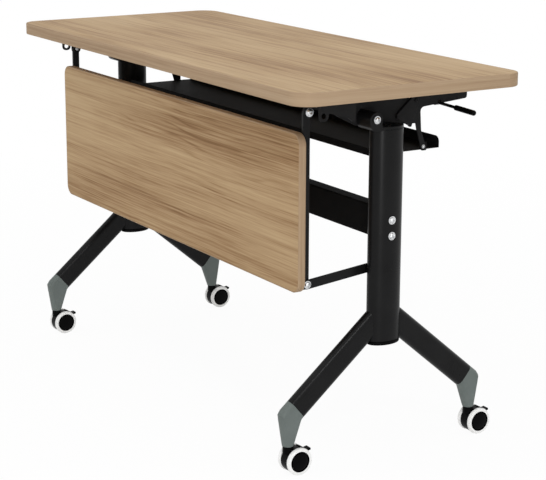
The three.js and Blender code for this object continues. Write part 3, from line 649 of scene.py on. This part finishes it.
def make_boards():
    def lying(u, v, w):
        return Vector((u, v, w))

    def upright(u, v, w):
        return Vector((u, w, v))

    low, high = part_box("tabletop")
    edge_band("tabletop", low, high, TOP_CORNER, lying, "top")
    faced_core("tabletop", low, high, TOP_CORNER, lying, "top", TOP_WOOD)
    low, high = (corner.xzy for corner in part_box("modesty_panel"))
    edge_band("modesty_panel", low, high, PANEL_CORNER, upright, "panel")
    faced_core("modesty_panel", low, high, PANEL_CORNER, upright, "panel", PANEL_WOOD)


# Columns, beam, legs and feet


def oval_tube(node):
    """A finer oval tube in place of a column."""
    low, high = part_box(node)
    middle, half = (low + high) / 2, (high - low) / 2
    work = bmesh.new()
    rings = []
    for inset, z in ((0, low.z), (0, high.z), (COLUMN_WALL, high.z), (COLUMN_WALL, low.z)):
        ring = []
        for angle in circle(FINE_ROUND):
            x = middle.x + (half.x - inset) * math.cos(angle)
            y = middle.y + (half.y - inset) * math.sin(angle)
            ring.append(work.verts.new((x, y, z)))
        rings.append(ring)
    skin(work, rings, closed=True)
    replacement(node, finished(work))


def make_stand():
    for side in SIDES:
        oval_tube(f"column_{side}")
        refined(f"column_head_{side}", ROUND_EDGE)
        refined(f"column_end_cap_{side}", PLAIN_EDGE)
    # The crossbeam takes the black coat with painted light and shade.
    refined("crossbeam", PLAIN_EDGE, material=SHEET_COAT_WITH_PAINTED_LIGHT)
    for place in PLACES:
        refined(f"leg_{place}", PLAIN_EDGE)
        refined(f"foot_{place}", SOFT_EDGE, segments=3)


# Flip brackets, tray, latch and lever


def round_lips(work):
    """Rounds the free end corners of the tray's two lips."""
    reach = max(vert.co.x for vert in work.verts)
    floor = min(vert.co.z for vert in work.verts)
    corners = []
    for edge in work.edges:
        one, two = (vert.co for vert in edge.verts)
        at_end = min(abs(one.x), abs(two.x)) > reach - SAME_POINT
        across = abs(one.z - two.z) < SAME_POINT and edge.calc_length() < LIP_THICKEST
        if at_end and across and one.z > floor + LIP_LOWEST:
            corners.append(edge)
    bmesh.ops.bevel(work, geom=corners, offset=LIP_CORNER, segments=LIP_STEPS, profile=0.5, affect="EDGES")


def make_under_top():
    for side in SIDES:
        # The flip brackets and latch pawls take the black coat with painted light.
        refined(f"flip_bracket_{side}", FINE_EDGE, material=BRACKET_COAT_PAINTED_LIGHTER)
        refined(f"latch_pawl_{side}", PLAIN_EDGE, material=BRACKET_COAT_PAINTED_LIGHTER)
        refined(f"hanger_{side}", FINE_EDGE)
        refined(f"link_{side}", FINE_EDGE)
        for pin in ("flip_pin", "panel_pin", "link_pin"):
            bar(f"{pin}_{side}")
    # The tray takes the black coat with painted light and shade.
    refined("book_tray", CRISP_EDGE, material=SHEET_COAT_WITH_PAINTED_LIGHT, shaped=round_lips)
    bar("cross_tube")
    bar("latch_shaft")
    refined("lever_rod", FINE_EDGE)
    refined("lever_grip", FINE_EDGE)


# Casters


def tread_profile(inner, radius, width):
    """A round-shouldered tread with a groove near its outer face and a lip round the disc."""
    near = (radius - TREAD_SHOULDER, TREAD_SHOULDER)
    far = (radius - TREAD_SHOULDER, width - TREAD_SHOULDER)
    lip_floor = width - TREAD_LIP_DEPTH
    return [
        (inner, 0),
        *arc(near, TREAD_SHOULDER, -90, 0, steps=8),
        *arc(far, TREAD_SHOULDER, 0, GROOVE_START, steps=3),
        *arc(far, TREAD_SHOULDER - TREAD_GROOVE, *GROOVE_FLOOR, steps=1),
        *arc(far, TREAD_SHOULDER, GROOVE_END, SHOULDER_END, steps=5),
        (inner + TREAD_LIP, width),
        (inner + TREAD_LIP_FOOT, lip_floor),
        (inner, lip_floor),
    ]


def core_profile(radius, width):
    """A disc with a blind axle hole, whose outer face is a shallow dome inside a recessed rim."""
    face = width - HUB_DOME
    floor = face - HUB_RECESS
    hub = radius - HUB_RIM
    rise = HUB_DOME * DOME_RISE
    return [
        (AXLE_HOLE, 0),
        (radius, 0),
        (radius, face),
        (radius - RIM_EDGE, face),
        (radius - RIM_FOOT, floor),
        (hub + HUB_FOOT, floor),
        (hub, face - HUB_FOOT),
        (hub - HUB_EDGE, face),
        *((hub * share, face + rise * (1 - share * share)) for share in DOME_RINGS),
        (0, face + rise),
        (0, width - AXLE_COVER),
        (AXLE_HOLE, width - AXLE_COVER),
    ]


def make_wheel(place, wheel):
    """A white tread round a black disc."""
    core, tread = f"caster_{place}_wheel_core_{wheel}", f"caster_{place}_tread_{wheel}"
    outward = 1 if wheel == "outer" else -1
    axis = (outward, 0, 0)
    low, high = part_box(tread)
    core_low, core_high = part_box(core)
    core_radius = (core_high.z - core_low.z) / 2
    middle = (core_low + core_high) / 2
    start = Vector((core_low.x if outward > 0 else core_high.x, middle.y, middle.z))
    profiles = {
        tread: tread_profile(core_radius + RIM_FIT, (high.z - low.z) / 2, high.x - low.x),
        core: core_profile(core_radius, core_high.x - core_low.x),
    }
    for node, profile in profiles.items():
        replacement(node, lathe(profile, start, axis, closed=True, steps=WHEEL_ROUND))


def make_casters():
    for place in PLACES:
        refined(f"caster_{place}_hood", ROUND_EDGE, segments=3)
        refined(f"caster_{place}_brake_pedal", PLAIN_EDGE)
        for wheel in ("outer", "inner"):
            make_wheel(place, wheel)


# Fasteners


def make_fasteners():
    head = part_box("column_head_right")[1].x + BOLT_STANDOFF
    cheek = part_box("link_right")[1].x
    column_low, column_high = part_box("column_right")
    column_y = (column_low.y + column_high.y) / 2
    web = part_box("flip_bracket_right")[1].z - PRESSED_SHEET
    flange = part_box("hanger_right")[0].y + PRESSED_SHEET
    flip, hang = pivots["top_flip"], pivots["panel_swing"]
    for side, sign in SIDES.items():
        out = (sign, 0, 0)
        bolt(f"flip_bolt_{side}", (sign * head, flip.y, flip.z), out, "frame")
        ear = (sign * (cheek + BOLT_STANDOFF), hang.y, hang.z)
        bolt(f"panel_bolt_{side}", ear, out, "top", radius=PANEL_BOLT_RADIUS)
        eye = (sign * cheek, hang.y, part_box(f"link_{side}")[0].z + LINK_EYE)
        bolt(f"link_bolt_{side}", eye, out, f"link_{side}", radius=LINK_BOLT_RADIUS)
        for i, z in enumerate(BEAM_BOLTS_Z):
            place = (sign * column_high.x, column_y, z)
            bolt(f"beam_bolt_{side}_{i}", place, out, "frame", radius=BEAM_BOLT_RADIUS)
        strap = (sign * cheek, *TRAY_BOLT_YZ)
        bolt(f"tray_bolt_{side}", strap, out, "top", radius=TRAY_BOLT_RADIUS, height=TRAY_BOLT_HEIGHT)
        for i, (x, y) in enumerate(BRACKET_SCREWS_XY):
            screw(f"bracket_screw_{side}_{i}", (sign * x, y, web), (0, 0, -1), "top")
        for i, z in enumerate(HANGER_SCREWS_Z):
            screw(f"hanger_screw_{side}_{i}", (sign * HANGER_SCREWS_X, flange, z), (0, 1, 0), "panel")


# Stage, light and camera


def seen_directly(tree):
    """1 for camera, mirror and glass rays, 0 for the light that reaches surfaces."""
    rays = add(tree, "ShaderNodeLightPath").outputs
    both = maths(tree, "MAXIMUM", rays["Is Camera Ray"], rays["Is Glossy Ray"])
    return maths(tree, "MAXIMUM", both, rays["Is Transmission Ray"])


def make_stage():
    bpy.ops.mesh.primitive_plane_add(size=FLOOR_SIZE)
    floor = bpy.context.object
    floor.name = "floor"
    material = bpy.data.materials.new("pale_floor")
    material.use_nodes = True
    tree = material.node_tree
    tree.nodes.clear()
    matte = add(tree, "ShaderNodeBsdfDiffuse", {"Color": FLOOR_COLOUR}).outputs[0]
    glow = add(tree, "ShaderNodeEmission", {"Color": WHITE, "Strength": 1.0}).outputs[0]
    place = add(tree, "ShaderNodeTexCoord").outputs["Object"]
    distance = add(tree, "ShaderNodeVectorMath", {0: place}, operation="LENGTH").outputs["Value"]
    limits = {
        "Value": distance,
        "From Min": FLOOR_NEAR,
        "From Max": FLOOR_FAR,
        "To Min": FLOOR_GLOW,
        "To Max": 1.0,
    }
    glow_share = add(tree, "ShaderNodeMapRange", limits).outputs["Result"]
    share = maths(tree, "MULTIPLY", seen_directly(tree), glow_share)
    mixed = add(tree, "ShaderNodeMixShader", {0: share, 1: matte, 2: glow}).outputs[0]
    add(tree, "ShaderNodeOutputMaterial", {"Surface": mixed})
    floor.data.materials.append(material)


def make_world():
    world = bpy.data.worlds.new("studio")
    world.use_nodes = True
    bpy.context.scene.world = world
    tree = world.node_tree
    tree.nodes.clear()
    limits = {"Value": seen_directly(tree), "To Min": WORLD_STRENGTH, "To Max": 1.0}
    strength = add(tree, "ShaderNodeMapRange", limits).outputs["Result"]
    light = add(tree, "ShaderNodeBackground", {"Color": WHITE, "Strength": strength})
    add(tree, "ShaderNodeOutputWorld", {"Surface": light.outputs[0]})


def area_light(name, place, target, size, power):
    data = bpy.data.lights.new(name, "AREA")
    data.shape = "RECTANGLE"
    data.size, data.size_y = size
    data.energy = power
    lamp = bpy.data.objects.new(name, data)
    lamp.location = place
    lamp.rotation_euler = (Vector(target) - Vector(place)).to_track_quat("-Z", "Y").to_euler()
    bpy.context.scene.collection.objects.link(lamp)


def make_camera():
    data = bpy.data.cameras.new("camera")
    data.lens = CAMERA_LENS
    data.sensor_width = SENSOR_WIDTH
    data.clip_end = CAMERA_REACH
    camera = bpy.data.objects.new("camera", data)
    look = (CAMERA_TARGET - CAMERA_PLACE).to_track_quat("-Z", "Y").to_matrix().to_4x4()
    roll = Matrix.Rotation(math.radians(CAMERA_ROLL), 4, "Z")
    camera.matrix_world = Matrix.Translation(CAMERA_PLACE) @ look @ roll
    bpy.context.scene.collection.objects.link(camera)
    bpy.context.scene.camera = camera


make_camera()
make_world()
make_stage()
for lamp_name, settings in LAMPS.items():
    area_light(lamp_name, *settings)
make_boards()
make_stand()
make_under_top()
make_casters()
make_fasteners()
bpy.context.scene.view_settings.view_transform = "Standard"
